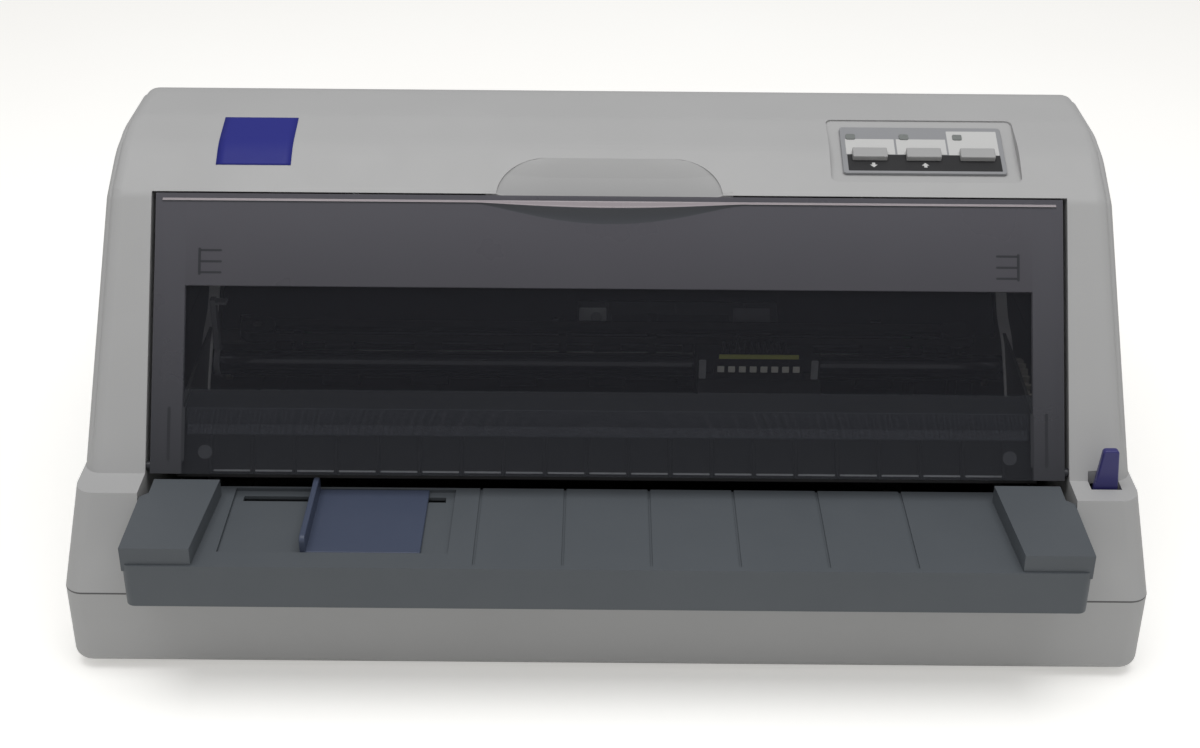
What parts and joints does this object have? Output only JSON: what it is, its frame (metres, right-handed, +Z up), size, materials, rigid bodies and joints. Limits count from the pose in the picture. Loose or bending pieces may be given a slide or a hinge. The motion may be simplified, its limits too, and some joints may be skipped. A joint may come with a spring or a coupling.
{
  "type": "dot matrix printer",
  "caption": "Flatbed dot matrix printer with a hinged smoked front cover, front paper tray with edge guide, control panel, tractor feed and an open print mechanism.",
  "frame": {"origin": "centre of the footprint on the ground plane, under the feet", "axes": "+X to the right of a person in front of it, +Y to the rear, +Z up"},
  "size_m": [0.468, 0.402, 0.2055],
  "materials": {
    "pale_housing": "fine grained pale grey",
    "white_buttons": "smooth pale grey",
    "dark_tray": "fine grained slate grey",
    "slate_guide": "smooth slate blue",
    "smoked_cover": "tinted, half clear",
    "black_foam": "soft black foam",
    "black_plastic": "satin black",
    "blue_lever": "satin blue",
    "panel_film": "printed grey and white film",
    "board": "green circuit board",
    "zinc_steel": "zinc plated sheet",
    "bright_steel": "ground and bright",
    "black_rubber": "matte black",
    "head_metal": "die-cast, dark",
    "belt_rubber": "toothless side outward",
    "gear_plastic": "natural white, slippery",
    "motor_metal": "dark lacquer",
    "port_metal": "plated",
    "tractor_plastic": "satin dark grey"
  },
  "bodies": {
    "machine": {"lower_case": "pale_housing", "rubber_feet": "black_rubber", "case_screws": "zinc_steel", "upper_case": "pale_housing", "paper_tray": "dark_tray", "entry_guide": "black_plastic", "panel_plate": "panel_film", "panel_board": "board", "base_frame": "zinc_steel", "left_side_frame": "zinc_steel", "right_side_frame": "zinc_steel", "front_stay": "zinc_steel", "rear_stay": "zinc_steel", "platen": "black_rubber", "carriage_shaft": "bright_steel", "carriage_rail": "zinc_steel", "carriage_motor": "motor_metal", "drive_belt": "belt_rubber", "roller_bushes": "gear_plastic", "pinch_holders": "black_plastic", "feed_motor": "motor_metal", "tractor_guide_shaft": "bright_steel", "rear_guide": "dark_tray", "inner_cover": "black_plastic", "main_board": "board", "data_ports": "port_metal", "power_supply": "board", "power_inlet": "black_plastic", "power_switch": "black_plastic"},
    "front_cover": {"front_cover": "smoked_cover", "cover_foam": "black_foam"},
    "carriage": {"carriage": "black_plastic", "print_head": "head_metal", "head_terminals": "bright_steel"},
    "edge_guide": {"edge_guide": "slate_guide"},
    "release_lever": {"release_lever": "blue_lever"},
    "feed_button": {"feed_button": "white_buttons"},
    "load_button": {"load_button": "white_buttons"},
    "pause_button": {"pause_button": "white_buttons"},
    "gap_lever": {"gap_lever": "blue_lever"},
    "drive_pulley": {"drive_pulley": "bright_steel"},
    "idler_pulley": {"idler_pulley": "gear_plastic"},
    "front_feed_roller": {"front_feed_roller": "black_rubber"},
    "rear_feed_roller": {"rear_feed_roller": "black_rubber"},
    "front_pinch_rollers": {"front_pinch_rollers": "gear_plastic"},
    "rear_pinch_rollers": {"rear_pinch_rollers": "gear_plastic"},
    "motor_pinion": {"motor_pinion": "bright_steel"},
    "reduction_gear": {"reduction_gear": "gear_plastic"},
    "linking_gear": {"linking_gear": "gear_plastic"},
    "first_tractor_gear": {"first_tractor_gear": "gear_plastic"},
    "second_tractor_gear": {"second_tractor_gear": "gear_plastic"},
    "tractor_drive_shaft": {"tractor_drive_shaft": "bright_steel"},
    "left_tractor": {"left_tractor": "tractor_plastic"},
    "left_tractor_wheel": {"left_tractor_wheel": "gear_plastic"},
    "left_tractor_cover": {"left_tractor_cover": "tractor_plastic"},
    "right_tractor": {"right_tractor": "tractor_plastic"},
    "right_tractor_wheel": {"right_tractor_wheel": "gear_plastic"},
    "right_tractor_cover": {"right_tractor_cover": "tractor_plastic"},
    "rear_cover": {"rear_cover": "pale_housing"},
    "power_rocker": {"power_rocker": "black_plastic"}
  },
  "joints": [
    {"name": "front_cover_hinge", "type": "hinge", "parent": "machine", "child": "front_cover", "pos_m": [0, -0.14119, 0.08434], "axis": [1, 0, 0], "range_deg": [0, 100]},
    {"name": "edge_guide_slide", "type": "slide", "parent": "machine", "child": "edge_guide", "axis": [1, 0, 0], "range_m": [-0.034, 0.011]},
    {"name": "release_lever_hinge", "type": "hinge", "parent": "machine", "child": "release_lever", "pos_m": [0.2146, -0.14955, 0.058], "axis": [1, 0, 0], "range_deg": [-8, 0]},
    {"name": "feed_button_press", "type": "slide", "parent": "machine", "child": "feed_button", "axis": [0, 0.3746, -0.9272], "range_m": [0, 0.0012], "stiffness_N_per_m": 150, "springref_m": -0.002},
    {"name": "load_button_press", "type": "slide", "parent": "machine", "child": "load_button", "axis": [0, 0.3746, -0.9272], "range_m": [0, 0.0012], "stiffness_N_per_m": 150, "springref_m": -0.002},
    {"name": "pause_button_press", "type": "slide", "parent": "machine", "child": "pause_button", "axis": [0, 0.3746, -0.9272], "range_m": [0, 0.0012], "stiffness_N_per_m": 150, "springref_m": -0.002},
    {"name": "gap_lever_hinge", "type": "hinge", "parent": "machine", "child": "gap_lever", "pos_m": [-0.186, -0.046, 0.084], "axis": [1, 0, 0], "range_deg": [-8, 8]},
    {"name": "carriage_slide", "type": "slide", "parent": "machine", "child": "carriage", "axis": [1, 0, 0], "range_m": [-0.198, 0.058]},
    {"name": "drive_pulley_spin", "type": "hinge", "parent": "machine", "child": "drive_pulley", "pos_m": [0.168, -0.0365, 0.0965], "axis": [0, 0, 1], "range_deg": [-1520, 450]},
    {"name": "idler_pulley_spin", "type": "hinge", "parent": "machine", "child": "idler_pulley", "pos_m": [-0.168, -0.0365, 0.0965], "axis": [0, 0, 1], "range_deg": [-1520, 450]},
    {"name": "rear_feed_roller_spin", "type": "hinge", "parent": "machine", "child": "rear_feed_roller", "pos_m": [0, -0.018, 0.065], "axis": [1, 0, 0], "continuous": true},
    {"name": "front_feed_roller_spin", "type": "hinge", "parent": "machine", "child": "front_feed_roller", "pos_m": [0, -0.096, 0.065], "axis": [1, 0, 0], "continuous": true},
    {"name": "rear_pinch_rollers_spin", "type": "hinge", "parent": "machine", "child": "rear_pinch_rollers", "pos_m": [0, -0.018, 0.0778], "axis": [1, 0, 0], "continuous": true},
    {"name": "front_pinch_rollers_spin", "type": "hinge", "parent": "machine", "child": "front_pinch_rollers", "pos_m": [0, -0.096, 0.0778], "axis": [1, 0, 0], "continuous": true},
    {"name": "motor_pinion_spin", "type": "hinge", "parent": "machine", "child": "motor_pinion", "pos_m": [0.1948, 0.02576, 0.03163], "axis": [1, 0, 0], "continuous": true},
    {"name": "reduction_gear_spin", "type": "hinge", "parent": "machine", "child": "reduction_gear", "pos_m": [0.1948, 0.01301, 0.05371], "axis": [1, 0, 0], "continuous": true},
    {"name": "linking_gear_spin", "type": "hinge", "parent": "machine", "child": "linking_gear", "pos_m": [0.1948, -0.057, 0.065], "axis": [1, 0, 0], "continuous": true},
    {"name": "first_tractor_gear_spin", "type": "hinge", "parent": "machine", "child": "first_tractor_gear", "pos_m": [0.1948, 0.05824, 0.06449], "axis": [1, 0, 0], "continuous": true},
    {"name": "second_tractor_gear_spin", "type": "hinge", "parent": "machine", "child": "second_tractor_gear", "pos_m": [0.1948, 0.11077, 0.077], "axis": [1, 0, 0], "continuous": true},
    {"name": "tractor_drive_shaft_spin", "type": "hinge", "parent": "machine", "child": "tractor_drive_shaft", "pos_m": [0, 0.15017, 0.08639], "axis": [1, 0, 0], "continuous": true},
    {"name": "left_tractor_slide", "type": "slide", "parent": "machine", "child": "left_tractor", "axis": [1, 0, 0], "range_m": [-0.03, 0.06]},
    {"name": "left_tractor_wheel_spin", "type": "hinge", "parent": "left_tractor", "child": "left_tractor_wheel", "pos_m": [-0.105, 0.15017, 0.08639], "axis": [1, 0, 0], "continuous": true},
    {"name": "left_tractor_cover_hinge", "type": "hinge", "parent": "left_tractor", "child": "left_tractor_cover", "pos_m": [-0.1143, 0.16217, 0.09729], "axis": [0, -1, 0], "range_deg": [0, 100]},
    {"name": "right_tractor_slide", "type": "slide", "parent": "machine", "child": "right_tractor", "axis": [1, 0, 0], "range_m": [-0.06, 0.03]},
    {"name": "right_tractor_wheel_spin", "type": "hinge", "parent": "right_tractor", "child": "right_tractor_wheel", "pos_m": [0.105, 0.15017, 0.08639], "axis": [1, 0, 0], "continuous": true},
    {"name": "right_tractor_cover_hinge", "type": "hinge", "parent": "right_tractor", "child": "right_tractor_cover", "pos_m": [0.1143, 0.16217, 0.09729], "axis": [0, 1, 0], "range_deg": [0, 100]},
    {"name": "rear_cover_hinge", "type": "hinge", "parent": "machine", "child": "rear_cover", "pos_m": [0, 0.1116, 0.15476], "axis": [1, 0, 0], "range_deg": [0, 75]},
    {"name": "power_rocker_hinge", "type": "hinge", "parent": "machine", "child": "power_rocker", "pos_m": [-0.22935, -0.104, 0.024], "axis": [0, 1, 0], "range_deg": [-12, 0]}
  ],
  "couplings": [
    {"joint": "front_feed_roller_spin", "follows": "rear_feed_roller_spin", "ratio": 1},
    {"joint": "rear_pinch_rollers_spin", "follows": "rear_feed_roller_spin", "ratio": -1.7111},
    {"joint": "front_pinch_rollers_spin", "follows": "rear_feed_roller_spin", "ratio": -1.7111},
    {"joint": "motor_pinion_spin", "follows": "rear_feed_roller_spin", "ratio": 2.25},
    {"joint": "reduction_gear_spin", "follows": "rear_feed_roller_spin", "ratio": -0.69231},
    {"joint": "linking_gear_spin", "follows": "rear_feed_roller_spin", "ratio": -0.52941},
    {"joint": "first_tractor_gear_spin", "follows": "rear_feed_roller_spin", "ratio": 0.5},
    {"joint": "second_tractor_gear_spin", "follows": "rear_feed_roller_spin", "ratio": -0.5},
    {"joint": "tractor_drive_shaft_spin", "follows": "rear_feed_roller_spin", "ratio": 1},
    {"joint": "left_tractor_wheel_spin", "follows": "rear_feed_roller_spin", "ratio": 1},
    {"joint": "right_tractor_wheel_spin", "follows": "rear_feed_roller_spin", "ratio": 1},
    {"joint": "drive_pulley_spin", "follows": "carriage_slide", "rad_per_m": 133.33},
    {"joint": "idler_pulley_spin", "follows": "carriage_slide", "rad_per_m": 133.33}
  ]
}
